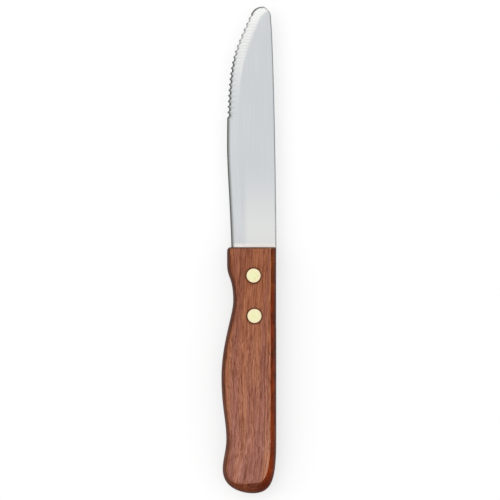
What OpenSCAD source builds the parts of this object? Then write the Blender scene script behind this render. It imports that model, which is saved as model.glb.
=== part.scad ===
// Steak knife with a rounded tip, a fluted cutting edge and a one-piece wooden handle.
// The blade runs on as a half tang in a sawn slot and is held by two brass compression rivets.
// X runs along the knife towards the tip, Y from the spine towards the cutting edge, Z is up.
// The knife lies flat on the underside of its handle. The origin is under the middle of its box.

/* [Blade] */
// Length of the blade from the handle's front to the tip
blade_l = 125.5; // [100:0.5:150]
// Thickness of the steel
steel_t = 1.6; // [1.2:0.1:2.4]
// Reach of the edge from the spine line at the heel
heel_w = 23.45; // [20:0.05:25]
// Slope of the edge at the heel, in degrees
heel_slope = 1.9; // [0.5:0.1:4]
// Largest reach of the edge from the spine line
blade_w = 25.75; // [23:0.05:28]
// Distance of that largest reach from the handle's front
blade_wide_at = 53.2; // [35:0.1:65]
// Distance from the tip to where the edge runs straight towards it
taper_l = 10.3; // [8:0.1:16]
// Reach of the edge there
taper_w = 16.2; // [13:0.1:18]
// Slope of the edge there, in degrees
taper_slope = 23.7; // [18:0.1:28]
// Reach of the foremost point of the rounded tip
tip_w = 6.6; // [6:0.1:8]
// Distance from the tip to the end of the spine's long line
spine_end_l = 4.5; // [3.5:0.1:7]
// Drop of the spine at that end
spine_drop = 2.9; // [1.5:0.1:3.6]
// Slope of the spine at that end, in degrees
spine_slope = 5.7; // [2:0.1:9]

/* [Grinding] */
// Width of the ground band along the edge
grind_w = 6.2; // [4:0.1:8]
// Width of the small bevel on the plain part of the edge
bevel_w = 0.9; // [0.5:0.1:1.5]
// Thickness of the steel at the top of the small bevel
bevel_t = 0.46; // [0.3:0.02:0.8]
// Thickness left at the very edge
edge_t = 0.12; // [0.08:0.02:0.2]
// Width of the easing along the spine
spine_ease = 0.3; // [0.15:0.05:0.5]

/* [Flutes] */
// Distance from the handle's front to the first flute
plain_l = 68.9; // [50:0.1:90]
// Distance from one flute to the next
flute_pitch = 2.9; // [2.2:0.1:4]
// Depth of the scallop that a flute leaves in the edge
tooth_h = 0.95; // [0.6:0.05:1.4]
// Length of a flute, measured square to the edge
flute_l = 5.0; // [3.5:0.1:5.6]
// Plain stretch left between the last flute and the tip
tip_plain_l = 2.0; // [1:0.1:8]

/* [Handle] */
// Length of the handle
handle_l = 128.5; // [110:0.5:150]
// Thickness of the handle
handle_t = 14; // [11:0.5:18]
// Width at the front
front_w = 25.7; // [24:0.1:28]
// Length of the straight stretch behind the front
front_l = 9.1; // [5:0.1:12]
// Width at the bottom of the finger groove
groove_w = 22.5; // [20:0.1:24]
// Distance of the finger groove from the front
groove_at = 28.1; // [24:0.1:34]
// Width at the belly
belly_w = 28.65; // [26:0.05:32]
// Distance of the belly from the front
belly_at = 67.6; // [55:0.1:78]
// Width at the waist ahead of the butt
waist_w = 26.1; // [23:0.1:28]
// Distance of the waist from the front
waist_at = 100.1; // [90:0.1:106]
// Width at the bulge of the butt
butt_w = 28.0; // [25:0.1:30]
// Distance from the bulge to the handle's end
butt_l = 12.7; // [9:0.1:15]
// Distance from the spine line to the rearmost point
butt_end_w = 12.4; // [10:0.1:16]
// Length over which the spine line bends into the butt
butt_bend_l = 29.4; // [18:0.1:34]
// Radius of the front corner on the finger side
finger_corner_r = 1.9; // [1:0.1:3]
// Radius of the front corner on the spine side
spine_corner_r = 1.2; // [0.5:0.1:2]

/* [Rounding of the handle] */
// Width of the rounded side along the spine
spine_band = 3.0; // [1.5:0.1:4]
// Width of the rounded side along the finger side
belly_band = 1.8; // [1:0.1:3]
// Width of the rounded side round the butt
butt_band = 5.6; // [3:0.1:6]
// Width of the easing round the front face
front_band = 0.5; // [0.3:0.05:1]

/* [Tang] */
// Length of the half tang inside the handle
tang_l = 50; // [44:0.5:60]
// Width of the tang at its rounded end
tang_end_w = 16; // [13:0.1:18]
// Depth of the tang below the wood along the spine
tang_inset = 0.2; // [0.1:0.05:1]
// Clearance between the tang and its slot, on each side
slot_clear = 0.05; // [0.03:0.01:0.1]

/* [Rivets] */
// Diameter of a rivet's head
head_d = 7.4; // [6:0.1:9]
// Thickness of a rivet's head
head_t = 1.5; // [1:0.1:2.5]
// Outside diameter of the socket's tube
tube_d = 4.2; // [3.6:0.1:5]
// Diameter of the post
post_d = 2.6; // [2:0.1:2.8]
// Length of the post under its head
post_l = 8; // [5:0.1:9]
// Distance of the front rivet from the handle's front
front_rivet_at = 14.8; // [12:0.1:17]
// Distance between the two rivets
rivet_gap = 21; // [17:0.1:22]
// Distance of the front rivet from the spine line
front_rivet_w = 11.85; // [10:0.05:13]
// Distance of the rear rivet from the spine line
rear_rivet_w = 11.4; // [10:0.05:12]
// Clearance round a rivet's tube, on each side
tube_clear = 0.05; // [0.03:0.01:0.1]
// Clearance round a rivet's head, on each side
head_clear = 0.12; // [0.05:0.01:0.2]
// Clearance between the post and the tube, on each side
post_clear = 0.02; // [0.01:0.01:0.05]

/* [Hidden] */
$fn = 64;

// How far a cut runs past the surface that it opens
cut_over = 1;
// How far a cut with a slanting side runs past a face
face_over = 0.05;
// Length of the grinding inside the slot
root_lap = 1.5;
// Easing on the rim of a rivet's head and on the mouth of the tube
rim_ease = 0.15;
// Space between the end of the tube and the other head
tube_end_gap = 0.8;
// Depth by which the socket's bore passes the post's end
bore_over = 0.5;
middle_z = handle_t / 2;
steel_h = steel_t / 2;
grey = "#cfd3d6";
wood = "#9a664d";
brass = "#f0e4b0";

// Steps along one curve of an outline, and across the handle's rounded side
curve_steps = 16;
long_steps = 24;
side_steps = 5;
end_steps = 16;

// Reach of a curve's inner handles, as shares of the distance between its ends
soft_share = 0.38;
groove_in_share = 0.67;
groove_out_share = 0.18;
belly_in_share = 0.43;
belly_out_share = 0.49;
waist_in_share = 0.29;
waist_out_share = 0.37;
bulge_in_share = 0.30;
bulge_out_share = 0.93;
bulge_end_share = 0.15;
butt_in_share = 0.88;
butt_out_share = 0.72;
heel_out_share = 0.46;
wide_in_share = 0.20;
wide_out_share = 0.67;
taper_in_share = 0.28;
taper_out_share = 0.56;
tip_in_share = 0.39;
tip_out_share = 0.10;
spine_end_in_share = 0.34;
spine_end_out_share = 0.15;
spine_start_in_share = 0.18;
// Part of its depth that a flute loses as the edge slopes, for a slope of 45 degrees
flute_fall_share = 1.15;

// A point on a curve with four control points, and a list of such points without the last
function curve_at(p, t) =
    pow(1 - t, 3) * p[0] + 3 * pow(1 - t, 2) * t * p[1] + 3 * (1 - t) * t * t * p[2] + pow(t, 3) * p[3];
function curve(p, steps) = [for (i = [0:steps - 1]) curve_at(p, i / steps)];

// Soft change from 0 to 1
function ease(t) = t * t * (3 - 2 * t);
function mix(a, b, t) = a + (b - a) * t;
function bands(a, b, steps) = [for (i = [0:steps - 1]) mix(a, b, ease(i / steps))];

// Unit normal to the left of the way through three points
function left_of(a, b) = [a[1] - b[1], b[0] - a[0]] / norm(b - a);
function normal_at(ring, i) =
    let (n = len(ring))
    let (before = ring[(i + n - 1) % n])
    let (after = ring[(i + 1) % n])
    let (sum = left_of(before, ring[i]) + left_of(ring[i], after))
    sum / norm(sum);

// Solid between rings of equally many points, closed by a flat face at each end
module ring_solid(rings) {
    n = len(rings[0]);
    points = [for (ring = rings) each ring];
    sides = [for (k = [0:len(rings) - 2]) for (i = [0:n - 1])
        let (a = k * n + i)
        let (b = k * n + (i + 1) % n)
        each [[a, b + n, b], [a, a + n, b + n]]];
    floor_face = [[for (i = [0:n - 1]) i]];
    roof_face = [[for (i = [n - 1:-1:0]) (len(rings) - 1) * n + i]];
    polyhedron(points, concat(sides, floor_face, roof_face), convexity = 6);
}

// Places a shape drawn from the handle's front, the spine line and mid thickness
module placed() {
    translate([(handle_l - blade_l) / 2, -belly_w / 2, middle_z]) children();
}

// Outline of the handle, once round from the spine's front corner
front_spine = [0, spine_corner_r];
front_belly = [0, front_w - finger_corner_r];
corner_belly = [-finger_corner_r, front_w];
crest = [-front_l, front_w];
groove = [-groove_at, groove_w];
belly = [-belly_at, belly_w];
waist = [-waist_at, waist_w];
bulge = [butt_l - handle_l, butt_w];
butt_end = [-handle_l, butt_end_w];
butt_bend = [butt_bend_l - handle_l, 0];
corner_spine = [-spine_corner_r, 0];

// Curve between two points where the outline runs along the handle
function level_curve(a, b, out_share, in_share) =
    [a, [mix(a[0], b[0], out_share), a[1]], [mix(b[0], a[0], in_share), b[1]], b];
// Quarter turn between a point on the front face and a point on a side
function corner_curve(a, b, c, share) = [a, mix(a, b, share), mix(c, b, share), c];
corner_share = 0.55;

belly_side = [
    level_curve(crest, groove, soft_share, groove_in_share),
    level_curve(groove, belly, groove_out_share, belly_in_share),
    level_curve(belly, waist, belly_out_share, waist_in_share),
    level_curve(waist, bulge, waist_out_share, bulge_in_share)
];
bulge_turn = [
    bulge,
    [mix(bulge[0], butt_end[0], bulge_out_share), bulge[1]],
    [butt_end[0], mix(butt_end[1], bulge[1], bulge_end_share)],
    butt_end
];
spine_turn = [
    butt_end,
    [butt_end[0], mix(butt_end[1], butt_bend[1], butt_in_share)],
    [mix(butt_bend[0], butt_end[0], butt_out_share), butt_bend[1]],
    butt_bend
];

handle_ring = concat(
    [front_spine],
    curve(corner_curve(front_belly, [0, front_w], corner_belly, corner_share), side_steps),
    [corner_belly],
    [for (part = belly_side) each curve(part, curve_steps)],
    curve(bulge_turn, long_steps),
    curve(spine_turn, long_steps),
    [butt_bend],
    curve(corner_curve(corner_spine, [0, 0], front_spine, corner_share), side_steps)
);

// Width of the rounded side at each of these points, along the knife and across it.
// The front corners keep the narrow easing of the front and the full width of their side.
function both_ways(widths) = [for (width = widths) [width, width]];
spine_corner = [front_band, spine_band];
finger_corner = [front_band, belly_band];
handle_bands = concat(
    [spine_corner],
    [for (k = [0:side_steps]) finger_corner],
    [for (part = belly_side) each both_ways(bands(belly_band, belly_band, curve_steps))],
    both_ways(bands(belly_band, butt_band, long_steps)),
    both_ways(bands(butt_band, spine_band, long_steps)),
    both_ways([spine_band]),
    [for (k = [1:side_steps]) spine_corner]
);

// The side is one round arc from face to face, whose radius follows from the width of its band
function arc_r(band) = (middle_z * middle_z + band * band) / (2 * band);
function arc_top(band) = 2 * atan(band / middle_z);
function arc_in(band, share) = arc_r(band) * (1 - cos(share * arc_top(band)));
function arc_up(band, share) = arc_r(band) * sin(share * arc_top(band));
function handle_ring_at(share) = [for (i = [0:len(handle_ring) - 1])
    let (p = handle_ring[i])
    let (n = normal_at(handle_ring, i))
    let (band = handle_bands[i])
    [
        p[0] + n[0] * arc_in(band[0], share),
        p[1] + n[1] * arc_in(band[1], share),
        mix(arc_up(band[0], share), arc_up(band[1], share), n[1] * n[1])
    ]];

// The faces are true planes: the rounded sides run a little past them and are trimmed
face_over_share = 1.02;
module handle_body() {
    intersection() {
        ring_solid([for (k = [-side_steps:side_steps])
            handle_ring_at(face_over_share * k / side_steps)]);
        translate([-handle_l - cut_over, -cut_over, -middle_z])
            cube([handle_l + 2 * cut_over, belly_w + 2 * cut_over, handle_t]);
    }
}

// Rounded end of the tang, from its wide side round to the spine side, grown for its slot
end_r = tang_end_w / 2;
end_x = end_r - tang_l;
function tang_end(grow) = [for (k = [0:end_steps])
    let (angle = 90 + 180 * k / end_steps)
    [end_x + (end_r + grow) * cos(angle), tang_inset + end_r + (end_r + grow) * sin(angle)]];

// The slot is open towards the front and along the spine
module slot() {
    slot_t = steel_t + 2 * slot_clear;
    translate([0, 0, -slot_t / 2]) linear_extrude(slot_t) polygon(concat(
        [[cut_over, -cut_over], [cut_over, heel_w + slot_clear], [0, heel_w + slot_clear]],
        tang_end(slot_clear),
        [[end_x, -cut_over]]
    ));
}

// Centres of the rivets
rivet_places = [
    [-front_rivet_at, front_rivet_w],
    [-(front_rivet_at + rivet_gap), rear_rivet_w]
];

module rivet_bores(d) {
    for (place = rivet_places)
        translate([place[0], place[1], -middle_z - cut_over])
            cylinder(d = d, h = handle_t + 2 * cut_over);
}

module head_seats() {
    for (place = rivet_places)
        for (side = [0, 1])
            translate([place[0], place[1], 0])
                mirror([0, 0, side])
                    translate([0, 0, middle_z - head_t])
                        cylinder(d = head_d + 2 * head_clear, h = head_t + cut_over);
}

module handle() {
    color(wood) placed() difference() {
        handle_body();
        slot();
        rivet_bores(tube_d + 2 * tube_clear);
        head_seats();
    }
}

// Outline of the blade, from the heel along the edge to the tip and back along the spine
heel = [0, heel_w];
wide = [blade_wide_at, blade_w];
taper = [blade_l - taper_l, taper_w];
tip = [blade_l, tip_w];
spine_end = [blade_l - spine_end_l, spine_drop];
spine_start = [0, 0];
root_slope = (heel_w - tang_inset - tang_end_w) / (tang_l - tang_end_w / 2);

// Curve between two points with a given way at each, and its inner handles as shares of a length
function blade_curve(a, way_a, share_a, b, way_b, share_b, length) =
    [a, a + way_a * share_a * length, b - way_b * share_b * length, b];
function way(angle) = [cos(angle), -sin(angle)];
to_tip = norm(tip - taper);
round_tip = norm(tip - spine_end);
taper_way = way(taper_slope);
heel_way = [1, tan(heel_slope)];
edge_curves = [
    blade_curve(heel, heel_way, heel_out_share, wide, way(0), wide_in_share, blade_wide_at),
    blade_curve(wide, way(0), wide_out_share, taper, taper_way, taper_in_share, taper[0] - wide[0]),
    blade_curve(taper, taper_way, taper_out_share, tip, way(90), tip_in_share, to_tip)
];
spine_way = way(180 - spine_slope);
tip_turn = blade_curve(tip, way(90), tip_out_share, spine_end, spine_way, spine_end_in_share, round_tip);
spine_line = blade_curve(
    spine_end, spine_way, spine_end_out_share,
    spine_start, way(180), spine_start_in_share,
    spine_end[0]
);

blade_steps = 16;
spine_steps = 8;
edge_side = [for (part = edge_curves) each curve(part, blade_steps)];
tip_side = curve(tip_turn, blade_steps);
spine_side = concat(curve(spine_line, spine_steps), [spine_start]);
// The blade runs on inside the slot, where its edge follows the tang
root_edge = [-root_lap, heel_w - root_lap * root_slope];
root_spine = [-root_lap, 0];

module blank() {
    translate([0, 0, -steel_h]) linear_extrude(steel_t) polygon(concat(
        edge_side,
        tip_side,
        spine_side,
        [root_spine, [-root_lap, tang_inset]],
        [for (k = [end_steps:-1:0]) tang_end(0)[k]]
    ));
}

// Takes a section along a line. A section's points are given as distance in from the line, and height.
module swept_section(line, ways, section) {
    ring_solid([for (i = [0:len(line) - 1])
        [for (q = section)
            let (p = line[i] - ways[i] * q[0])
            [p[0], p[1], q[1]]]]);
}

// What the grinding takes off one face: the wide band and the small bevel, both run past the steel.
// Past the taper the grinding keeps its direction, so the band leaves the blade at the tip.
band_slope = (steel_h - bevel_t / 2) / (grind_w - bevel_w);
bevel_slope = (bevel_t - edge_t) / 2 / bevel_w;
// The bevel runs on outside the edge almost to mid thickness
edge_over_share = 0.8;
edge_over = edge_over_share * edge_t / 2 / bevel_slope;
ground_section = [
    [bevel_w, bevel_t / 2],
    [-edge_over, edge_t / 2 - bevel_slope * edge_over],
    [-edge_over, steel_h + face_over],
    [grind_w + face_over / band_slope, steel_h + face_over]
];
taper_out = [-taper_way[1], taper_way[0]];
taper_from = 2 * blade_steps;
ground_line = concat([root_edge], edge_side, [tip, tip + taper_way * cut_over]);
ground_ways = [for (i = [0:len(ground_line) - 1])
    i == 0 ? [0, 1] : i < taper_from ? normal_at(ground_line, i) : taper_out];

// The easing along the spine, at 45 degrees
eased_section = [
    [spine_ease + face_over, steel_h + face_over],
    [-spine_ease, steel_h - 2 * spine_ease],
    [-spine_ease, steel_h + face_over]
];
eased_line = concat(spine_side, [root_spine]);
eased_ways = [for (i = [0:len(eased_line) - 1])
    i == 0 ? [-spine_way[1], spine_way[0]] :
    i == len(eased_line) - 1 ? [0, -1] : normal_at(eased_line, i)];

module ground_off() {
    swept_section(ground_line, ground_ways, ground_section);
    swept_section(eased_line, eased_ways, eased_section);
}

// Half thickness of the ground band at a distance from the edge
function ground_h(in) =
    in < bevel_w
        ? mix(edge_t / 2, bevel_t / 2, in / bevel_w)
        : mix(bevel_t / 2, steel_h, (in - bevel_w) / (grind_w - bevel_w));

// A flute's floor leaves the back of the blade at the scallop's depth and the front at its own length
flute_rise = (ground_h(flute_l) + ground_h(tooth_h)) / (flute_l - tooth_h);
function flute_floor(depth) = -ground_h(depth) - flute_rise * depth;
// Neighbouring flutes meet in a point at mid thickness
flute_sink = -flute_floor(tooth_h);
flute_r = (pow(flute_pitch / 2, 2) + pow(flute_sink, 2)) / (2 * flute_sink);

edge_line = concat([root_edge], edge_side, [tip]);
function edge_slope(x) =
    (lookup(x + flute_pitch / 2, edge_line) - lookup(x - flute_pitch / 2, edge_line)) / flute_pitch;

// A round flute square to the blade's length, which rises from the edge to the face
module flute(x) {
    slope = abs(edge_slope(x));
    lean = cos(atan(slope));
    depth = tooth_h * (1 - slope * flute_fall_share);
    translate([x, lookup(x, edge_line), flute_floor(depth)])
        rotate([-atan(flute_rise * lean), 0, 0])
            translate([0, flute_pitch, flute_r])
                rotate([90, 0, 0])
                    cylinder(r = flute_r, h = flute_pitch + (flute_l + cut_over) / lean);
}

module blade() {
    color(grey) placed() difference() {
        blank();
        ground_off();
        mirror([0, 0, 1]) ground_off();
        for (x = [plain_l:flute_pitch:blade_l - tip_plain_l]) flute(x);
        rivet_bores(tube_d + 2 * tube_clear);
    }
}

// The socket's head is on the upper face and the post's head on the underside, both flush
head_under = middle_z - head_t;
tube_end = tube_end_gap - head_under;
post_end = post_l - head_under;

module rivet_socket(place) {
    bore_r = post_d / 2 + post_clear;
    color(brass) placed() translate([place[0], place[1], 0]) rotate_extrude() polygon([
        [bore_r, tube_end + rim_ease],
        [bore_r + rim_ease, tube_end],
        [tube_d / 2, tube_end],
        [tube_d / 2, head_under],
        [head_d / 2, head_under],
        [head_d / 2, middle_z - rim_ease],
        [head_d / 2 - rim_ease, middle_z],
        [0, middle_z],
        [0, post_end + bore_over],
        [bore_r, post_end + bore_over]
    ]);
}

module rivet_post(place) {
    color(brass) placed() translate([place[0], place[1], 0]) rotate_extrude() polygon([
        [0, -middle_z],
        [head_d / 2 - rim_ease, -middle_z],
        [head_d / 2, -middle_z + rim_ease],
        [head_d / 2, -head_under],
        [post_d / 2, -head_under],
        [post_d / 2, post_end - rim_ease],
        [post_d / 2 - rim_ease, post_end],
        [0, post_end]
    ]);
}

module front_rivet_socket() {
    rivet_socket(rivet_places[0]);
}

module front_rivet_post() {
    rivet_post(rivet_places[0]);
}

module rear_rivet_socket() {
    rivet_socket(rivet_places[1]);
}

module rear_rivet_post() {
    rivet_post(rivet_places[1]);
}

blade();
handle();
front_rivet_socket();
front_rivet_post();
rear_rivet_socket();
rear_rivet_post();
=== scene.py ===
# %% [markdown]
# # A steak knife on a white table
#
# The knife is about 254 mm long: a serrated blade of satin steel, and a hardwood handle
# held by two brass rivets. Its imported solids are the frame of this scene. Each cell below
# adds one thing: the view, a piece, a finish, or the light. All lengths are in metres.

import math

import bmesh
import bpy
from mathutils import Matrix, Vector


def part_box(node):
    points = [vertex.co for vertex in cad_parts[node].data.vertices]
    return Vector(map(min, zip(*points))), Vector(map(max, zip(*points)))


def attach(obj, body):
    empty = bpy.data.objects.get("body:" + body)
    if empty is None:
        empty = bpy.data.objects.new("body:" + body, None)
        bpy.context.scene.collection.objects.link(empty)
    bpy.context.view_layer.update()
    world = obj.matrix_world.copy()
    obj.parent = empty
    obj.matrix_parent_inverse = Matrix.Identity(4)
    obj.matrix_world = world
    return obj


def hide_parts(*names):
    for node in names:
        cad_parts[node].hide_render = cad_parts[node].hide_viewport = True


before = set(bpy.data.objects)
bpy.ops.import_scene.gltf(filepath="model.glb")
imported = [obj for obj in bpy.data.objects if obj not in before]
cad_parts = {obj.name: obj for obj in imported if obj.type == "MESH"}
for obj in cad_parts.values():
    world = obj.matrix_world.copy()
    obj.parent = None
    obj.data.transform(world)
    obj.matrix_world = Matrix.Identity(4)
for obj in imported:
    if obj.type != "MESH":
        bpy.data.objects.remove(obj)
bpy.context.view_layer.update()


print("nodes:", sorted(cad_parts))

# %% Common measures
mm = 0.001
mid_z = 7 * mm  # the middle of the steel and of the handle, above the table
tiny = 1e-6  # two heights closer than this are the same

# %% [markdown]
# ## The view
#
# The photograph looks straight down on the knife, from so far away that nothing
# converges. The blade points up the picture, and its cutting edge is on the left. A
# long lens high above the table gives the same flat drawing as an orthographic camera,
# and behaves like a real one in every other view.

# %% Camera
view_width = 260.97 * mm
view_height = 2.0
view_centre_y = -0.6 * mm
sensor = 36.0

camera_data = bpy.data.cameras.new("camera")
camera_data.sensor_width = sensor
camera_data.lens = sensor * view_height / view_width
camera_data.clip_end = 100
camera = bpy.data.objects.new("camera", camera_data)
bpy.context.scene.collection.objects.link(camera)
camera.location = (0, view_centre_y, mid_z + view_height)
camera.rotation_euler = (0, 0, -math.pi / 2)
bpy.context.scene.camera = camera
bpy.context.scene.view_settings.view_transform = "Standard"
print("lens:", round(camera_data.lens, 1), "mm")

# %% [markdown]
# ## Small tools
#
# An operator works on everything that is selected, and the frame arrives selected. These
# helpers clear the selection, choose parts of a mesh by a rule, and go in and out of
# edit mode. A rule is a function that gets a face or an edge and says yes or no.


# %% Helpers for selecting
def select_only(piece):
    for other in bpy.context.selected_objects:
        other.select_set(False)
    bpy.context.view_layer.objects.active = piece
    piece.select_set(True)


def edit(piece, kind="FACE"):
    select_only(piece)
    bpy.ops.object.mode_set(mode="EDIT")
    bpy.ops.mesh.select_mode(type=kind)
    bpy.ops.mesh.select_all(action="DESELECT")


def done():
    bpy.ops.object.mode_set(mode="OBJECT")


def choose(kind, rule):
    """Selects the faces or edges of the mesh in edit mode that follow the rule."""
    mesh = bmesh.from_edit_mesh(bpy.context.edit_object.data)
    bpy.ops.mesh.select_all(action="DESELECT")
    parts = mesh.faces if kind == "FACE" else mesh.edges
    parts.ensure_lookup_table()
    found = [part for part in parts if rule(part)]
    for part in found:
        part.select_set(True)
    bmesh.update_edit_mesh(bpy.context.edit_object.data)
    return len(found)


# %% [markdown]
# Two more helpers serve the blade and the handle. One measures how sharply an edge is
# folded, and one adds a modifier and applies it at once, so that the mesh is final.


# %% Helpers for edges and modifiers
def fold(edge):
    """Angle between the two faces of an edge, in degrees."""
    if len(edge.link_faces) != 2:
        return 0.0
    a, b = edge.link_faces
    return math.degrees(a.normal.angle(b.normal, 0.0))


def apply_modifier(piece, kind, **values):
    select_only(piece)
    modifier = piece.modifiers.new(kind.lower(), kind)
    for name, value in values.items():
        setattr(modifier, name, value)
    bpy.ops.object.modifier_apply(modifier=modifier.name)


# %% [markdown]
# ## Copies of the solids
#
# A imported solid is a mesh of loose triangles. A copy of it keeps its exact size, and is a
# good start for a finer piece: its doubles are merged, and the triangles of each flat
# face are joined into one face, so that edges can be rounded and shaded properly.

# %% Copy a node
same_place = 0.2e-6
same_plane = math.radians(0.02)


def copy_of(node, name):
    piece = bpy.data.objects.new(name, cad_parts[node].data.copy())
    bpy.context.scene.collection.objects.link(piece)
    piece.data.name = name
    piece.data.materials.clear()
    edit(piece)
    bpy.ops.mesh.customdata_custom_splitnormals_clear()
    bpy.ops.mesh.select_all(action="SELECT")
    bpy.ops.mesh.remove_doubles(threshold=same_place)
    bpy.ops.mesh.dissolve_limited(angle_limit=same_plane)
    bpy.ops.mesh.mark_sharp(clear=True)
    done()
    print(name, "has", len(piece.data.polygons), "faces after merging")
    return piece


def finish_piece(piece, node):
    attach(piece, "root")
    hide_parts(node)


# %% [markdown]
# ## The blade
#
# The blade is 1.6 mm steel, ground thin in a wide band along its edge. A copy of the solid
# already has the band, the small bevel and the round flutes. What it lacks is shading:
# a grinding wheel leaves crisp borders between its cuts, while each cut is smooth along
# its own length. So an edge is sharp where two cuts meet at more than a few degrees.

# %% Blade
wall_lean = 0.3  # a face whose normal has a smaller z than this is a wall
wall_crease = 30  # degrees from which an edge between two walls stays sharp
cut_crease = 2.5  # and any other edge


def blade_crease(edge):
    if len(edge.link_faces) != 2:
        return True
    between_walls = all(abs(face.normal.z) < wall_lean for face in edge.link_faces)
    return fold(edge) > (wall_crease if between_walls else cut_crease)


blade = copy_of("blade", "steel_blade")
edit(blade, "EDGE")
creases = choose("EDGE", blade_crease)
bpy.ops.mesh.mark_sharp()
done()
select_only(blade)
bpy.ops.object.shade_smooth()
finish_piece(blade, "blade")
print("sharp edges on the blade:", creases)

# %% [markdown]
# Each cut has its own finish, so the shader must know which cut a point is on. A face
# attribute tells it exactly: it changes at the border of a face and nowhere else, and it
# follows the metal, whatever the view. The cuts are told apart by how steeply they lean,
# and the small bevel by its height: all of it is close to the middle of the sheet.

# %% Name the cuts of the blade
flat_lean = 0.99995
easing_lean = 0.7071  # 45 degrees, within a hundredth
band_leans = (0.9937, 0.9948)
bevel_top = 0.24 * mm


def above_middle(face):
    """Height of the face's furthest corner above or below the middle of the sheet."""
    return max(abs(blade.data.vertices[i].co.z - mid_z) for i in face.vertices)


def cut_of(face):
    """The cut that a face of the blade belongs to."""
    lean = abs(face.normal.z)
    if lean > flat_lean:
        return "flat"
    if lean < wall_lean:
        return "wall"
    if abs(lean - easing_lean) < 0.01 and abs(face.normal.x) < 0.5:
        return "easing"
    if above_middle(face) < bevel_top:
        return "bevel"
    if band_leans[0] < lean < band_leans[1]:
        return "band"
    return "flute"


for cut in ("band", "bevel", "flute", "wall", "easing"):
    cut_faces = [face.index for face in blade.data.polygons if cut_of(face) == cut]
    mask = blade.data.attributes.new(cut, "FLOAT", "FACE")
    for index in cut_faces:
        mask.data[index].value = 1.0
    print("faces of the cut", cut + ":", len(cut_faces))

# %% [markdown]
# ## The handle
#
# The handle is one piece of hardwood, sawn open for the tang. Its two faces are flat, and a
# crisp line parts them from the rounded side. Even a crisp wooden edge is never knife
# sharp: sanding leaves a radius of some tenths of a millimetre, which catches the light.
# Edges get a bevel weight, and one Bevel modifier then rounds them, each by its weight.

# %% Handle
outer_round = 0.25 * mm
other_share = 0.3  # the other edges are rounded by this share of it
outer_fold = 5  # degrees from which an edge is rounded
other_fold = 30


def is_flat(face):
    return abs(face.normal.z) > 0.99999


def is_outer(edge):
    """True for an edge of the two big faces that runs round the outside of the handle."""
    flats = [face for face in edge.link_faces if is_flat(face)]
    middle = (edge.verts[0].co + edge.verts[1].co) / 2
    at_face = abs(abs(middle.z - mid_z) - mid_z) < tiny
    return len(flats) == 1 and at_face


handle = copy_of("handle", "wood_handle")
edit(handle, "EDGE")
others = choose("EDGE", lambda edge: fold(edge) > other_fold and not is_outer(edge))
bpy.ops.transform.edge_bevelweight(value=other_share)
outer = choose("EDGE", lambda edge: is_outer(edge) and fold(edge) > outer_fold)
bpy.ops.transform.edge_bevelweight(value=1.0)
done()
print("edges to round: outer", outer, "others", others)

# %% [markdown]
# The modifier clamps its width, so that two roundings never cross. Weighted normals then
# let the big faces win, and they stay flat in the light right up to their edges.

# %% Round the handle's edges
apply_modifier(
    handle,
    "BEVEL",
    limit_method="WEIGHT",
    width=outer_round,
    segments=2,
    use_clamp_overlap=True,
)
select_only(handle)
bpy.ops.object.shade_smooth_by_angle(angle=math.radians(40))
apply_modifier(handle, "WEIGHTED_NORMAL", mode="FACE_AREA", weight=80, keep_sharp=True)
finish_piece(handle, "handle")
print("faces of the handle:", len(handle.data.polygons))

# %% [markdown]
# ## The rivets
#
# A compression rivet is two turned pieces: a head with a tube, and a head with a post that
# is pressed into it. Both heads are ground flush with the wood. Each piece starts as a
# disc, the head. Its inner face is inset and extruded for the tube or the post, the tube
# is bored the same way, and the rim of the head is bevelled. The outer face is inset in
# rings that fall away a little, because buffing takes more off near the rim.

# %% Measures of a rivet
head_r = 3.7 * mm
head_t = 1.5 * mm
tube_r = 2.1 * mm
tube_l = 10.2 * mm
bore_r = 1.32 * mm
bore_l = 9.9 * mm
post_r = 1.3 * mm
post_l = 8.0 * mm
crown = 0.03 * mm
crown_rings = 4
rim_bevel = 0.12 * mm
sides = 96
print("rivet heads:", round(2 * head_r / mm, 2), "mm across")


# %% Helpers for turned pieces
def inset_faces(by):
    bpy.ops.mesh.inset(thickness=by, depth=0, use_even_offset=True)


def extrude_faces(by):
    bpy.ops.mesh.extrude_region_move(TRANSFORM_OT_translate={"value": (0, 0, by)})


def head_disc(name, x, y, outer_z, up):
    """The plain disc of a head, whose outer face is at outer_z."""
    bpy.ops.object.select_all(action="DESELECT")
    bpy.ops.mesh.primitive_cylinder_add(
        vertices=sides,
        radius=head_r,
        depth=head_t,
        location=(x, y, outer_z - up * head_t / 2),
    )
    disc = bpy.context.object
    disc.name = disc.data.name = name
    bpy.ops.object.transform_apply(location=True)
    return disc


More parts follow.
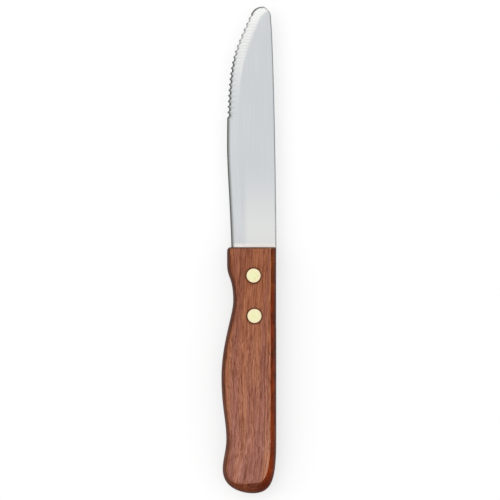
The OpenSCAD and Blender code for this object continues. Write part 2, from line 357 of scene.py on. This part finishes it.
# %% Rivets
def make_rivet(node, up, inner_r, inner_l, bore=None):
    """One half of a rivet. up is 1 for a head on the upper face, and -1 below."""
    low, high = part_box(node)
    x, y = (low.x + high.x) / 2, (low.y + high.y) / 2
    outer_z = high.z if up > 0 else low.z
    rim_z = outer_z - up * crown

    def from_axis(point):
        return math.hypot(point.x - x, point.y - y)

    def is_outer_face(face):
        level = abs(face.calc_center_median().z - outer_z) < tiny
        return face.normal.z * up > 0.9 and level

    def on_rim(edge):
        return all(
            abs(v.co.z - rim_z) < 2 * tiny and from_axis(v.co) > head_r * 0.99
            for v in edge.verts
        )

    rivet = head_disc("brass_" + node, x, y, outer_z, up)
    edit(rivet)
    choose("FACE", lambda face: face.normal.z * up < -0.9)
    inset_faces(head_r - inner_r)
    extrude_faces(-up * inner_l)
    if bore:
        inset_faces(inner_r - bore[0])
        extrude_faces(up * bore[1])
    choose("FACE", is_outer_face)
    for _ in range(crown_rings):
        inset_faces(head_r / (crown_rings + 1))
    done()
    for vertex in rivet.data.vertices:
        if abs(vertex.co.z - outer_z) < tiny:
            vertex.co.z -= up * crown * (from_axis(vertex.co) / head_r) ** 3
    edit(rivet, "EDGE")
    rim = choose("EDGE", on_rim)
    bpy.ops.mesh.bevel(offset=rim_bevel, segments=3, affect="EDGES")
    done()
    select_only(rivet)
    bpy.ops.object.shade_smooth_by_angle(angle=math.radians(35))
    finish_piece(rivet, node)
    print(rivet.name, "at", round(x, 5), round(y, 5), "rim edges", rim)
    return rivet


rivets = []
for end_of_handle in ("front", "rear"):
    socket_node = end_of_handle + "_rivet_socket"
    post_node = end_of_handle + "_rivet_post"
    rivets.append(make_rivet(socket_node, 1, tube_r, tube_l, (bore_r, bore_l)))
    rivets.append(make_rivet(post_node, -1, post_r, post_l))

# %% [markdown]
# ## Node tools
#
# A material is a small network of nodes. These helpers add a node, set its sockets by
# name, and join two sockets, so that each material reads as a list of its layers.


# %% Helpers for nodes
def add(tree, kind, label="", **values):
    node = tree.nodes.new(kind)
    node.label = label
    for name, value in values.items():
        key = name.replace("_", " ")
        if key in node.inputs:
            node.inputs[key].default_value = value
        else:
            setattr(node, name, value)
    return node


def join(tree, source, target):
    tree.links.new(source, target)


def blank_material(name):
    material = bpy.data.materials.new(name)
    material.use_nodes = True
    tree = material.node_tree
    tree.nodes.clear()
    output = add(tree, "ShaderNodeOutputMaterial")
    surface = add(tree, "ShaderNodeBsdfPrincipled")
    join(tree, surface.outputs["BSDF"], output.inputs["Surface"])
    return material, tree, surface


def place_and_facing(tree):
    """The place on the object, and which way the surface looks there."""
    node = add(tree, "ShaderNodeTexCoord")
    return node.outputs["Object"], node.outputs["Normal"]


def parts_of(tree, vector):
    """The X, Y and Z of a vector."""
    node = add(tree, "ShaderNodeSeparateXYZ")
    join(tree, vector, node.inputs[0])
    return node.outputs["X"], node.outputs["Y"], node.outputs["Z"]


# %% [markdown]
# Masks are numbers from 0 to 1 that say where a layer lies. These helpers do sums with
# them, let them fade in between two values, and make clouds of soft noise.


# %% Helpers for masks
def math_node(tree, operation, a, b=None, clamp=False):
    node = add(tree, "ShaderNodeMath", operation=operation, use_clamp=clamp)
    for i, value in enumerate((a, b)):
        if value is None:
            continue
        if isinstance(value, (int, float)):
            node.inputs[i].default_value = value
        else:
            join(tree, value, node.inputs[i])
    return node.outputs[0]


def plus(tree, a, b):
    return math_node(tree, "ADD", a, b)


def minus(tree, a, b):
    return math_node(tree, "SUBTRACT", a, b)


def times(tree, first, *others):
    """The product of masks and numbers: where all the masks lie."""
    for other in others:
        first = math_node(tree, "MULTIPLY", first, other)
    return first


def larger(tree, a, b):
    return math_node(tree, "MAXIMUM", a, b)


def ramp(tree, source, low, high):
    """Maps low..high of a value to 0..1, softly. low may be the larger one."""
    node = add(tree, "ShaderNodeMapRange", interpolation_type="SMOOTHSTEP")
    join(tree, source, node.inputs["Value"])
    node.inputs["From Min"].default_value = low
    node.inputs["From Max"].default_value = high
    return node.outputs["Result"]


def clouds(tree, where, label, scale, detail=2.0):
    node = add(tree, "ShaderNodeTexNoise", label, Scale=scale, Detail=detail)
    join(tree, where, node.inputs["Vector"])
    return node.outputs["Fac"]


# %% [markdown]
# Colours are written as they look on a screen, and a layer of colour is laid over
# another by a mask: as paint, which covers, or as stain, which multiplies.


# %% Helpers for colours
def colour(r, g, b):
    """A screen colour of 0 to 255 as the linear colour that a shader takes."""

    def linear(v):
        v = v / 255
        return v / 12.92 if v <= 0.04045 else ((v + 0.055) / 1.055) ** 2.4

    return (linear(r), linear(g), linear(b), 1.0)


def blend(tree, mask, a, b, mode="MIX"):
    """Colour a where the mask is 0 and b where it is 1. Each is a socket or a colour."""
    node = add(tree, "ShaderNodeMix", data_type="RGBA", blend_type=mode)
    sockets = [s for s in node.inputs if s.type == "RGBA"]
    factor = [s for s in node.inputs if s.name == "Factor"][0]
    if isinstance(mask, (int, float)):
        factor.default_value = mask
    else:
        join(tree, mask, factor)
    for socket, value in zip(sockets, (a, b)):
        if isinstance(value, tuple):
            socket.default_value = value
        else:
            join(tree, value, socket)
    return [s for s in node.outputs if s.type == "RGBA"][0]


def paint(tree, base, mask, tone, share=1.0):
    """Covers the base with a tone where the mask lies, by the given share."""
    if share < 1.0:
        mask = times(tree, mask, share)
    return blend(tree, mask, base, tone)


def stain(tree, base, tone):
    return blend(tree, 1.0, base, tone, "MULTIPLY")


def bump(tree, surface, height, strength, distance):
    node = add(tree, "ShaderNodeBump", "relief", Strength=strength, Distance=distance)
    join(tree, height, node.inputs["Height"])
    join(tree, node.outputs["Normal"], surface.inputs["Normal"])


# %% [markdown]
# ## Node groups
#
# An effect that several materials need is made once, as a group of nodes with named
# inputs and outputs. These helpers make such a group and place it in a material.


# %% Helpers for groups
def new_group(name, inputs, output):
    """A node group. inputs is a list of (name, value), where None stands for a vector."""
    group = bpy.data.node_groups.new(name, "ShaderNodeTree")
    for label, value in inputs:
        kind = "NodeSocketVector" if value is None else "NodeSocketFloat"
        socket = group.interface.new_socket(label, in_out="INPUT", socket_type=kind)
        if value is not None:
            socket.default_value = value
    group.interface.new_socket(output, in_out="OUTPUT", socket_type="NodeSocketFloat")
    start = group.nodes.new("NodeGroupInput").outputs
    end = group.nodes.new("NodeGroupOutput").inputs
    return group, start, end[output]


def use_group(tree, group, where, **values):
    node = tree.nodes.new("ShaderNodeGroup")
    node.node_tree = group
    join(tree, where, node.inputs["Vector"])
    for name, value in values.items():
        node.inputs[name].default_value = value
    return node.outputs[0]


def vector_math(tree, operation, a, b, output="Vector"):
    """A sum with vectors. b may be a vector's socket, a number's socket or a constant."""
    node = add(tree, "ShaderNodeVectorMath", operation.lower(), operation=operation)
    join(tree, a, node.inputs[0])
    if operation == "SCALE":
        join(tree, b, node.inputs["Scale"])
    elif isinstance(b, tuple):
        node.inputs[1].default_value = b
    elif b is not None:
        join(tree, b, node.inputs[1])
    return node.outputs[output]


# %% [markdown]
# ## Streaks, a group for wood and metal
#
# Wood grain and a brushed finish are the same idea: noise that is long one way and fine
# the other. The group divides the place by a length and a width before it reads the noise.
# Before that it lets the place wander sideways, because no fibre is quite straight.

# %% Group: streaks
streaks, start, end = new_group(
    "streaks",
    [("Vector", None), ("Length", 0.03), ("Width", 0.001), ("Wander", 0.0), ("Detail", 3.0)],
    "Value",
)
drift = add(streaks, "ShaderNodeTexNoise", "drift", Scale=22.0, Detail=1.0)
join(streaks, start["Vector"], drift.inputs["Vector"])
centred = vector_math(streaks, "SUBTRACT", drift.outputs["Color"], (0.5, 0.5, 0.5))
wander = vector_math(streaks, "SCALE", centred, start["Wander"])
moved = vector_math(streaks, "ADD", start["Vector"], wander)
streak_size = add(streaks, "ShaderNodeCombineXYZ", "size of a streak")
join(streaks, start["Length"], streak_size.inputs["X"])
join(streaks, start["Width"], streak_size.inputs["Y"])
join(streaks, start["Width"], streak_size.inputs["Z"])
divided = vector_math(streaks, "DIVIDE", moved, streak_size.outputs[0])
noise = add(streaks, "ShaderNodeTexNoise", "fibres", Scale=1.0, Roughness=0.55)
join(streaks, divided, noise.inputs["Vector"])
join(streaks, start["Detail"], noise.inputs["Detail"])
join(streaks, noise.outputs["Fac"], end)


def streak(tree, where, length, width, wander, detail):
    """Streaks along X, of a length and a width in metres."""
    return use_group(
        tree, streaks, where, Length=length, Width=width, Wander=wander, Detail=detail
    )


print("group made:", streaks.name)

# %% [markdown]
# ## Edge wear and shade, a group for wood and metal
#
# Hands and cloths touch the edges of a knife first. Where a rounded normal differs from the
# true one, there is an edge nearby. The group turns that difference into a mask and breaks
# it up with noise, because wear is never even. The same mask also places painted highlights
# and painted shade along edges.

# %% Group: edge wear and shade
edge_wear_and_shade, start, end = new_group(
    "edge wear and shade",
    [("Vector", None), ("Radius", 0.0005), ("Strength", 4.0), ("Evenness", 0.0)],
    "Mask",
)
rounded = add(edge_wear_and_shade, "ShaderNodeBevel", "rounded", samples=4)
join(edge_wear_and_shade, start["Radius"], rounded.inputs["Radius"])
true = add(edge_wear_and_shade, "ShaderNodeNewGeometry", "true")
likeness = vector_math(
    edge_wear_and_shade, "DOT_PRODUCT", rounded.outputs["Normal"], true.outputs["Normal"], "Value"
)
difference = times(edge_wear_and_shade, minus(edge_wear_and_shade, 1.0, likeness), start["Strength"])
patches = clouds(edge_wear_and_shade, start["Vector"], "patches", 420.0)
patchy = larger(edge_wear_and_shade, ramp(edge_wear_and_shade, patches, 0.3, 0.7), start["Evenness"])
broken = times(edge_wear_and_shade, difference, patchy)
join(edge_wear_and_shade, math_node(edge_wear_and_shade, "MINIMUM", broken, 1.0), end)
print("group made:", edge_wear_and_shade.name)

# %% [markdown]
# ## A ring, a group for wood and metal
#
# The mask is strongest at one distance from the rivet's axis, and fades within a given
# width. It measures that distance across the handle's face only, so it is the same at every
# height.

# %% Group: ring
ring, start, end = new_group(
    "ring",
    [("Vector", None), ("Centre", None), ("Radius", 0.0037), ("Width", 0.0005)],
    "Mask",
)
away = vector_math(ring, "SUBTRACT", start["Vector"], start["Centre"])
level = vector_math(ring, "MULTIPLY", away, (1, 1, 0))
reach = vector_math(ring, "LENGTH", level, None, "Value")
gap = math_node(ring, "ABSOLUTE", minus(ring, reach, start["Radius"]))
share_of_width = math_node(ring, "DIVIDE", gap, start["Width"])
join(ring, math_node(ring, "SUBTRACT", 1.0, share_of_width, clamp=True), end)


def rivet_rings(tree, where, radius, width):
    """A ring round each of the two rivets."""
    masks = []
    for end_of_handle in ("front", "rear"):
        low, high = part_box(end_of_handle + "_rivet_socket")
        centre = (low + high) / 2
        masks.append(use_group(tree, ring, where, Centre=centre, Radius=radius, Width=width))
    return larger(tree, *masks)


print("group made:", ring.name)

# %% [markdown]
# ## Hardwood
#
# The wood is a warm reddish brown. Streaks of four sizes run along the handle, leaning a
# little: broad bands of lighter and darker wood, fine streaks, hair-thin fibres, and
# short dark dashes that are open pores. First come the streaks themselves, as masks.

# %% Wood: streaks
wood, tree, surface = blank_material("hardwood")
where, facing = place_and_facing(tree)
x, y, _ = parts_of(tree, where)
_, facing_y, facing_z = parts_of(tree, facing)
up = math_node(tree, "ABSOLUTE", facing_z)

leaning = add(tree, "ShaderNodeMapping", "leaning grain")
leaning.inputs["Rotation"].default_value = (0, 0, math.radians(2.2))
leaning.inputs["Location"].default_value = (4.03, 0.61, 0)
join(tree, where, leaning.inputs["Vector"])
fibres = leaning.outputs[0]
wandering = 6 * mm
broad = streak(tree, fibres, 110 * mm, 4.6 * mm, wandering, 2.0)
fine = streak(tree, fibres, 60 * mm, 0.85 * mm, wandering, 3.0)
hair = streak(tree, fibres, 9 * mm, 0.30 * mm, wandering, 2.0)
pores = streak(tree, fibres, 2.6 * mm, 0.24 * mm, wandering, 1.0)
print("nodes so far:", len(tree.nodes))

# %% [markdown]
# Fine streaks and fibres choose a colour from three browns. The broad bands stain it, and
# so does the place along the handle: the wood is browner at the front, where it has been
# held and oiled, and greyer towards the butt.

# %% Wood: colour of the grain
dark_fibre, middle_fibre = colour(127, 77, 60), colour(168, 114, 94)
pale_fibre = colour(193, 139, 119)
rosy_band, yellow_band = colour(231, 223, 229), colour(254, 246, 230)
front_stain, no_stain = colour(230, 215, 196), colour(255, 255, 255)

figure = add(tree, "ShaderNodeValToRGB", "figure")
stops = figure.color_ramp.elements
stops[0].position, stops[0].color = 0.38, dark_fibre
stops[1].position, stops[1].color = 0.63, pale_fibre
stops.new(0.50).color = middle_fibre
mixed = plus(tree, times(tree, fine, 0.42), times(tree, hair, 0.58))
join(tree, mixed, figure.inputs["Fac"])

bands = blend(tree, ramp(tree, broad, 0.38, 0.62), rosy_band, yellow_band)
grain = stain(tree, figure.outputs["Color"], bands)
towards_butt = ramp(tree, x, 0, -110 * mm)
grain = stain(tree, grain, blend(tree, towards_butt, front_stain, no_stain))
print("nodes so far:", len(tree.nodes))

# %% [markdown]
# Pores are open where a fibre is cut, and the rounded side cuts more of them, so they show
# more there. A thin dark ring lies round each rivet.

# %% Wood: pores and rivet rings
pore_brown, dark_ring_brown = colour(70, 34, 24), colour(74, 48, 26)

side = ramp(tree, up, 0.990, 0.965)
pore_mask = ramp(tree, pores, 0.58, 0.70)
open_share = plus(tree, times(tree, side, 0.3), 0.6)
grain = paint(tree, grain, times(tree, pore_mask, open_share), pore_brown)
dark_ring = rivet_rings(tree, where, 4.0 * mm, 0.6 * mm)
grain = paint(tree, grain, dark_ring, dark_ring_brown, 0.9)
print("nodes so far:", len(tree.nodes))

# %% [markdown]
# Where the surface turns away from the flat face, the side gets painted shade, so it is
# darker and redder. Along the spine, which faces away from the lamp, the painted shade is
# the deepest, and more orange near the front. The butt gets a painted highlight in its
# middle and painted shade at the spine's corner, and it is mottled, because the fibres end
# there. With some random blotches, all of this is one stain for the side alone.

# %% Wood: painted shade of the rounded side
# Painted shade for the rounded side: darker and redder as it turns away, deepest along the
# spine.
steep_side_shade, upper_side_shade = colour(146, 127, 112), colour(214, 168, 124)
spine_side_shade, spine_front_shade = colour(200, 120, 42), colour(252, 194, 84)
blotch_stain = colour(120, 84, 60)
butt_middle_highlight, butt_corner_shade = colour(226, 200, 172), colour(132, 76, 56)
cut_fibre_stain = colour(96, 58, 44)

near_front = ramp(tree, x, -27 * mm, -13 * mm)
spine_shade_tone = blend(tree, near_front, spine_side_shade, spine_front_shade)
spine_side = times(tree, ramp(tree, facing_y, 0.1, -0.6), ramp(tree, up, 0.25, 0.70))
belly_shade_tone = blend(tree, ramp(tree, up, 0.30, 0.80), steep_side_shade, upper_side_shade)
side_shade_and_tone = blend(tree, spine_side, belly_shade_tone, spine_shade_tone)

blotches = clouds(tree, where, "blotches", 130.0, 3.0)
side_shade_and_tone = paint(tree, side_shade_and_tone, ramp(tree, blotches, 0.42, 0.66), blotch_stain, 0.55)
# A painted highlight in the middle of the butt.
butt_middle = times(
    tree,
    ramp(tree, x, -118 * mm, -123 * mm),
    ramp(tree, up, 0.60, 0.95),
    ramp(tree, y, -9 * mm, -4 * mm),
)
side_shade_and_tone = paint(tree, side_shade_and_tone, butt_middle, butt_middle_highlight, 0.38)
# Painted shade at the butt's corner on the spine.
butt_corner = times(
    tree, ramp(tree, x, -114 * mm, -123 * mm), ramp(tree, y, -2 * mm, -9 * mm)
)
side_shade_and_tone = paint(tree, side_shade_and_tone, butt_corner, butt_corner_shade, 0.7)
butt_fibres = streak(tree, fibres, 2.2 * mm, 0.42 * mm, 4 * mm, 2.0)
cut_fibres = times(
    tree, ramp(tree, butt_fibres, 0.50, 0.64), ramp(tree, x, -116 * mm, -119.5 * mm)
)
side_shade_and_tone = paint(tree, side_shade_and_tone, cut_fibres, cut_fibre_stain, 0.75)
# The painted shade, with its blotches and cut fibres, is multiplied over the grain of the
# side.
grain = paint(tree, grain, side, stain(tree, grain, side_shade_and_tone))
print("nodes so far:", len(tree.nodes))

# %% [markdown]
# All edges get a faint painted highlight, and the crisp line at the front of the spine a
# stronger one. Along the belly, the flat face gets painted shade near its edge instead.

# %% Wood: painted highlights and shade at the edges
edge_highlight_brown, arris_highlight_brown = colour(176, 112, 78), colour(206, 150, 116)
belly_edge_shade_tone = colour(212, 198, 174)

# A faint painted highlight on all edges.
edge_highlight = use_group(tree, edge_wear_and_shade, where, Radius=0.6 * mm, Strength=1.2)
grain = paint(tree, grain, edge_highlight, edge_highlight_brown, 0.3)
# A strong painted highlight on the crisp line at the front of the spine.
arris_highlight = times(
    tree,
    use_group(tree, edge_wear_and_shade, where, Radius=0.9 * mm, Strength=30.0, Evenness=0.9),
    ramp(tree, y, -8.5 * mm, -10 * mm),
    ramp(tree, up, 0.90, 0.985),
    near_front,
)
grain = paint(tree, grain, arris_highlight, arris_highlight_brown, 0.7)
# Painted shade on the flat face near the belly's edge.
belly_edge_shade = times(
    tree,
    use_group(tree, edge_wear_and_shade, where, Radius=2.4 * mm, Strength=40.0, Evenness=0.35),
    ramp(tree, y, -8 * mm, -4 * mm),
    ramp(tree, x, -1 * mm, -4 * mm),
    ramp(tree, up, 0.970, 0.995),
)
grain = paint(tree, grain, belly_edge_shade, stain(tree, grain, belly_edge_shade_tone))
print("nodes so far:", len(tree.nodes))

# %% [markdown]
# The front of the handle is end grain. It drinks the most oil, so it is dark and grey,
# with soft blotches. The gloss is low and uneven, and the pores are small dents.

# %% Wood: end grain, gloss and relief
dark_end, pale_end = colour(86, 60, 47), colour(104, 77, 62)

end_tone = blend(tree, ramp(tree, blotches, 0.35, 0.65), dark_end, pale_end)
grain = paint(tree, grain, ramp(tree, x, 0.4 * mm, 1.0 * mm), end_tone, 0.75)
join(tree, grain, surface.inputs["Base Color"])

roughness = plus(tree, times(tree, hair, 0.16), 0.36)
roughness = plus(tree, roughness, times(tree, pore_mask, 0.25))
join(tree, roughness, surface.inputs["Roughness"])
surface.inputs["Specular IOR Level"].default_value = 0.03
dents = minus(tree, times(tree, hair, 0.5), pore_mask)
bump(tree, surface, dents, strength=0.35, distance=0.12 * mm)
handle.data.materials.append(wood)
print("nodes in the wood:", len(tree.nodes))

# %% [markdown]
# ## Satin steel
#
# The sheet is brushed along the blade, so its flat face has fine lines that way. A soft
# painted sheen lies over it near the handle, on the side of the spine, and right at the
# handle it is painted almost white: painted light where the handle shades it. The masks of
# the five cuts come from the face attributes that were made with the blade.

# %% Steel: the flat face
brushed_dark, brushed_pale = colour(207, 210, 212), colour(219, 222, 224)
cloud_grey, heel_sheen = colour(207, 211, 216), colour(230, 231, 229)
painted_light_at_handle = colour(250, 244, 240)

steel, tree, surface = blank_material("satin steel")
surface.inputs["Metallic"].default_value = 1.0
where, _ = place_and_facing(tree)
x, y, z = parts_of(tree, where)


def cut_mask(name):
    node = add(tree, "ShaderNodeAttribute", name, attribute_name=name)
    return node.outputs["Fac"]


band, bevel, flute = cut_mask("band"), cut_mask("bevel"), cut_mask("flute")
wall, easing = cut_mask("wall"), cut_mask("easing")

brushed = streak(tree, where, 30 * mm, 0.18 * mm, 0.4 * mm, 2.0)
face_tone = blend(tree, ramp(tree, brushed, 0.3, 0.7), brushed_dark, brushed_pale)
cloudy = ramp(tree, clouds(tree, where, "cloudy", 38.0), 0.35, 0.65)
face_tone = paint(tree, face_tone, cloudy, cloud_grey, 0.5)
# A painted sheen near the heel, on the side of the spine.
heel = times(tree, ramp(tree, x, 50 * mm, 6 * mm), ramp(tree, y, 3.4 * mm, 0.2 * mm))
face_tone = paint(tree, face_tone, heel, heel_sheen, 0.9)
# Painted light right at the handle, where the handle shades the steel.
at_handle = ramp(tree, x, 4.2 * mm, 2.0 * mm)
face_tone = paint(tree, face_tone, at_handle, painted_light_at_handle)
print("nodes so far:", len(tree.nodes))

# %% [markdown]
# The ground band was cut by a wheel that ran across the blade. Towards the tip it gets a
# painted highlight, and painted lines of shade cross it there, as the flutes would shade it.
# Its border is crisp in the middle of the blade and fades near the tip, where the cut runs
# out slowly. The mask for that border is the depth below the face, which grows evenly
# across the band.

# %% Steel: the ground band
band_highlight, flute_line_shade = colour(246, 247, 244), colour(206, 204, 208)

# Painted lines of shade across the band near the tip, for the flutes.
flute_shade_lines = add(
    tree,
    "ShaderNodeTexWave",
    "flute shade lines",
    wave_type="BANDS",
    bands_direction="X",
    Scale=196.0,
    Distortion=1.2,
    Detail=2.0,
    Detail_Scale=0.7,
)
join(tree, where, flute_shade_lines.inputs["Vector"])
flute_line_mask = times(
    tree,
    flute_shade_lines.outputs["Fac"],
    ramp(tree, x, 92 * mm, 106 * mm),
    ramp(tree, x, 121 * mm, 117 * mm),
)
# A painted highlight on the band, growing towards the tip.
towards_tip = ramp(tree, x, 66 * mm, 124 * mm)
band_tone = paint(tree, face_tone, towards_tip, band_highlight)
band_tone = paint(tree, band_tone, flute_line_mask, flute_line_shade, 0.32)

ground = larger(tree, band, flute)
from_middle = math_node(tree, "ABSOLUTE", minus(tree, z, mid_z))
at_tip = ramp(tree, x, 95 * mm, 115 * mm)
crisp = ramp(tree, from_middle, 0.80 * mm, 0.74 * mm)
faded = ramp(tree, from_middle, 0.80 * mm, 0.56 * mm)
border = plus(
    tree, times(tree, faded, at_tip), times(tree, crisp, minus(tree, 1.0, at_tip))
)
tone = paint(tree, face_tone, times(tree, ground, border), band_tone)
print("nodes so far:", len(tree.nodes))

# %% [markdown]
# The plain part of the edge ends in a small bevel, painted grey as painted shade, and the
# painted shade reaches a little above it. Between the teeth the sheared wall is dark, partly
# rough sheared steel and partly painted shade. Near the tip the teeth are shallow, the wall
# is paler, and a thin line of painted shade low in the flutes is all that marks the edge.
# The sheared spine and its easing are painted darker than the faces, as shade.

# %% Steel: the edge and the walls
bevel_shade_grey, tooth_shade_grey = colour(148, 150, 147), colour(128, 130, 127)
dark_wall, pale_wall = colour(120, 122, 122), colour(190, 192, 188)
easing_grey = colour(138, 140, 140)

# The bevel and a strip above it are painted grey: painted shade.
tone = paint(tree, tone, bevel, bevel_shade_grey)
shade_above_bevel = times(
    tree, ramp(tree, from_middle, 0.36 * mm, 0.23 * mm), ramp(tree, x, 70.5 * mm, 69 * mm)
)
tone = paint(tree, tone, shade_above_bevel, bevel_shade_grey, 0.75)
shallow = times(
    tree,
    ramp(tree, x, 96 * mm, 110 * mm),
    ramp(tree, y, -6 * mm, -1 * mm),
    ramp(tree, x, 123.5 * mm, 121 * mm),
)
# Painted shade low in the flutes of the shallow teeth near the tip.
low_in_flute = ramp(tree, z, mid_z + 0.14 * mm, mid_z - 0.02 * mm)
tone = paint(tree, tone, times(tree, low_in_flute, flute, shallow), tooth_shade_grey, 0.5)
# The walls: dark, partly rough sheared steel and partly painted shade.
tone = paint(tree, tone, wall, blend(tree, shallow, dark_wall, pale_wall))
# The easing gets painted shade.
tone = paint(tree, tone, easing, easing_grey)
print("nodes so far:", len(tree.nodes))

# %% [markdown]
# Edges of the metal get a painted dark outline, a painted reflection of the dark of the room
# in their rounding. The line is weaker on the shallow teeth, and stronger on the tip's
# curve.

# %% Steel: outline, gloss and relief
outline_shade_grey = colour(82, 84, 80)

# A painted dark outline along the edges: a painted reflection of the dark of the room.
outline = use_group(tree, edge_wear_and_shade, where, Radius=1.1 * mm, Strength=8.0, Evenness=0.8)
tip_curve = times(
    tree, ramp(tree, x, 123.5 * mm, 124.8 * mm), ramp(tree, y, -5 * mm, -7.5 * mm)
)
outline_share = minus(tree, 1.0, times(tree, shallow, 0.8))
outline_share = plus(tree, outline_share, times(tree, tip_curve, 2.0))
tone = paint(tree, tone, times(tree, outline, outline_share), outline_shade_grey)
join(tree, tone, surface.inputs["Base Color"])

roughness = plus(tree, times(tree, brushed, 0.10), 0.27)
roughness = minus(tree, roughness, times(tree, ground, 0.06))
roughness = plus(tree, roughness, times(tree, wall, 0.2))
join(tree, roughness, surface.inputs["Roughness"])

across = add(tree, "ShaderNodeMapping", "across the blade")
across.inputs["Rotation"].default_value = (0, 0, math.pi / 2)
join(tree, where, across.inputs["Vector"])
wheel = streak(tree, across.outputs[0], 12 * mm, 0.75 * mm, 0.5 * mm, 2.0)
scratches = plus(
    tree,
    times(tree, brushed, minus(tree, 1.0, ground)),
    times(tree, wheel, times(tree, ground, 0.3)),
)
bump(tree, surface, scratches, strength=0.12, distance=0.04 * mm)
blade.data.materials.append(steel)
print("nodes in the steel:", len(tree.nodes))

# %% [markdown]
# ## Brass
#
# The rivets are pale yellow brass, buffed together with the wood. Fine scuffs run along
# the handle, where the belt passed, with a few warmer spots of tarnish. Towards the rim
# the brass is creamier, and a thin dark ring closes it.

# %% Brass material
scuffed_brass, buffed_brass = colour(242, 240, 184), colour(252, 252, 208)
tarnish, worn_brass = colour(228, 214, 150), colour(150, 110, 50)
cream_brass, rim_brown = colour(255, 236, 198), colour(122, 76, 34)

brass, tree, surface = blank_material("pale brass")
surface.inputs["Metallic"].default_value = 1.0
where, _ = place_and_facing(tree)
scuffs = streak(tree, where, 4 * mm, 0.12 * mm, 0.2 * mm, 2.0)
tone = blend(tree, ramp(tree, scuffs, 0.3, 0.7), scuffed_brass, buffed_brass)
spots = clouds(tree, where, "spots", 900.0)
tone = paint(tree, tone, ramp(tree, spots, 0.55, 0.8), tarnish)
edges = use_group(tree, edge_wear_and_shade, where, Radius=0.3 * mm, Strength=3.0)
tone = paint(tree, tone, edges, worn_brass, 0.6)
near_rim = rivet_rings(tree, where, 3.4 * mm, 1.3 * mm)
tone = paint(tree, tone, near_rim, cream_brass, 0.9)
rim_line = rivet_rings(tree, where, 3.8 * mm, 0.3 * mm)
tone = paint(tree, tone, rim_line, rim_brown, 0.9)
join(tree, tone, surface.inputs["Base Color"])
join(tree, plus(tree, times(tree, scuffs, 0.14), 0.24), surface.inputs["Roughness"])
bump(tree, surface, scuffs, strength=0.1, distance=0.03 * mm)
for rivet in rivets:
    rivet.data.materials.append(brass)
print("nodes in the brass:", len(tree.nodes))

# %% [markdown]
# ## Table and light
#
# The photograph has a plain white ground and very soft light, a little stronger from the
# left, the side of the cutting edge. The table is a wide pale sheet. To the camera and in
# reflections it is mixed with plain white, which keeps the knife's shadow faint.

# %% Table
table_size = 12
white_share = 0.6

bpy.ops.object.select_all(action="DESELECT")
bpy.ops.mesh.primitive_plane_add(size=table_size, location=(0, 0, 0))
floor = bpy.context.object
floor.name = floor.data.name = "floor"

paper, tree, surface = blank_material("white table")
surface.inputs["Base Color"].default_value = (0.95, 0.95, 0.95, 1)
surface.inputs["Roughness"].default_value = 0.9
surface.inputs["Specular IOR Level"].default_value = 0.0
rays = add(tree, "ShaderNodeLightPath").outputs
looked_at = larger(tree, rays["Is Camera Ray"], rays["Is Glossy Ray"])
looked_at = larger(tree, looked_at, rays["Is Transmission Ray"])
white = add(tree, "ShaderNodeEmission", "white", Strength=1.0)
white.inputs["Color"].default_value = (1, 1, 1, 1)
half_white = add(tree, "ShaderNodeMixShader", "half white")
join(tree, times(tree, looked_at, white_share), half_white.inputs["Fac"])
join(tree, surface.outputs["BSDF"], half_white.inputs[1])
join(tree, white.outputs["Emission"], half_white.inputs[2])
output = [node for node in tree.nodes if node.type == "OUTPUT_MATERIAL"][0]
join(tree, half_white.outputs["Shader"], output.inputs["Surface"])
floor.data.materials.append(paper)
print("table:", tuple(floor.dimensions))

# %% [markdown]
# The sky is a studio of white cloth. The camera sees it plain white, and it lights the
# table a little less than that. Reflections see a gentle lean from one side to the
# other, so that the steel isn't the same tone from every angle.

# %% World
sky_light = 0.95
sky_lean = (0.12, 0.10, 0.0)

world = bpy.data.worlds.new("studio")
bpy.context.scene.world = world
world.use_nodes = True
tree = world.node_tree
tree.nodes.clear()
output = add(tree, "ShaderNodeOutputWorld")
sky = add(tree, "ShaderNodeBackground", "sky")
sky.inputs["Color"].default_value = (1, 1, 1, 1)
rays = add(tree, "ShaderNodeLightPath").outputs
towards = add(tree, "ShaderNodeTexCoord").outputs["Generated"]
lean = vector_math(tree, "DOT_PRODUCT", towards, sky_lean, "Value")
mirrored = plus(tree, lean, sky_light)
strength = blend(tree, rays["Is Glossy Ray"], (sky_light,) * 3 + (1,), mirrored)
clear = larger(tree, rays["Is Camera Ray"], rays["Is Transmission Ray"])
strength = blend(tree, clear, strength, (1, 1, 1, 1))
join(tree, strength, sky.inputs["Strength"])
join(tree, sky.outputs[0], output.inputs["Surface"])
print("sky light:", sky_light)

# %% [markdown]
# One wide, weak lamp on the left gives the light its direction. It is hidden from
# reflections, because a bright disc in the steel would look like a lamp, not like cloth.

# %% Lamp
lamp_place = (0.35, 1.1, 1.3)
lamp_size = 1.8
lamp_power = 8

lamp_data = bpy.data.lights.new("key", "AREA")
lamp_data.shape = "DISK"
lamp_data.size = lamp_size
lamp_data.energy = lamp_power
lamp = bpy.data.objects.new("key", lamp_data)
bpy.context.scene.collection.objects.link(lamp)
lamp.location = lamp_place
lamp.rotation_euler = (-Vector(lamp_place)).to_track_quat("-Z", "Y").to_euler()
lamp.visible_glossy = False
print("lamp power:", lamp_power, "W")
